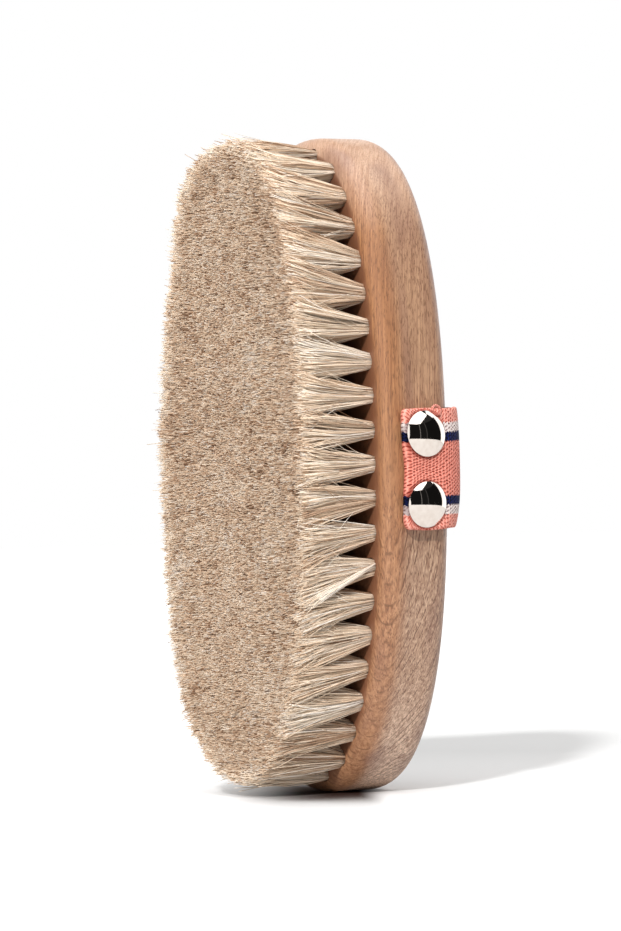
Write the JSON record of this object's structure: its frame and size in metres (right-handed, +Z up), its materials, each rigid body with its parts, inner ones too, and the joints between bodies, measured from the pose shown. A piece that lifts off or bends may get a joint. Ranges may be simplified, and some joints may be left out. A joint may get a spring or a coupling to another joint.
{
  "type": "body brush",
  "caption": "Oval wooden body brush with trimmed horsehair tufts and a striped elastic hand strap held by dome headed nails.",
  "frame": {"origin": "on the surface that the brush stands on, under the middle of its bounding box", "axes": "+Z up along the block's length, +X across its width, -Y the way the hair points and +Y towards the hand strap"},
  "size_m": [0.0672, 0.0476, 0.1368],
  "materials": {
    "beech": "satin",
    "webbing": "matte",
    "horsehair": "matte",
    "nickel": "polished"
  },
  "bodies": {
    "root": {"oval_block": "beech", "hand_strap": "webbing", "right_upper_nail": "nickel", "right_lower_nail": "nickel", "left_upper_nail": "nickel", "left_lower_nail": "nickel", "outer_tuft_01": "horsehair", "outer_tuft_02": "horsehair", "outer_tuft_03": "horsehair", "outer_tuft_04": "horsehair", "outer_tuft_05": "horsehair", "outer_tuft_06": "horsehair", "outer_tuft_07": "horsehair", "outer_tuft_08": "horsehair", "outer_tuft_09": "horsehair", "outer_tuft_10": "horsehair", "outer_tuft_11": "horsehair", "outer_tuft_12": "horsehair", "outer_tuft_13": "horsehair", "outer_tuft_14": "horsehair", "outer_tuft_15": "horsehair", "outer_tuft_16": "horsehair", "outer_tuft_17": "horsehair", "outer_tuft_18": "horsehair", "outer_tuft_19": "horsehair", "outer_tuft_20": "horsehair", "outer_tuft_21": "horsehair", "outer_tuft_22": "horsehair", "outer_tuft_23": "horsehair", "outer_tuft_24": "horsehair", "outer_tuft_25": "horsehair", "outer_tuft_26": "horsehair", "outer_tuft_27": "horsehair", "outer_tuft_28": "horsehair", "outer_tuft_29": "horsehair", "outer_tuft_30": "horsehair", "outer_tuft_31": "horsehair", "outer_tuft_32": "horsehair", "outer_tuft_33": "horsehair", "outer_tuft_34": "horsehair", "outer_tuft_35": "horsehair", "outer_tuft_36": "horsehair", "outer_tuft_37": "horsehair", "outer_tuft_38": "horsehair", "outer_tuft_39": "horsehair", "outer_tuft_40": "horsehair", "outer_tuft_41": "horsehair", "outer_tuft_42": "horsehair", "second_ring_tufts": "horsehair", "third_ring_tufts": "horsehair", "middle_row_tufts": "horsehair"}
  },
  "joints": []
}
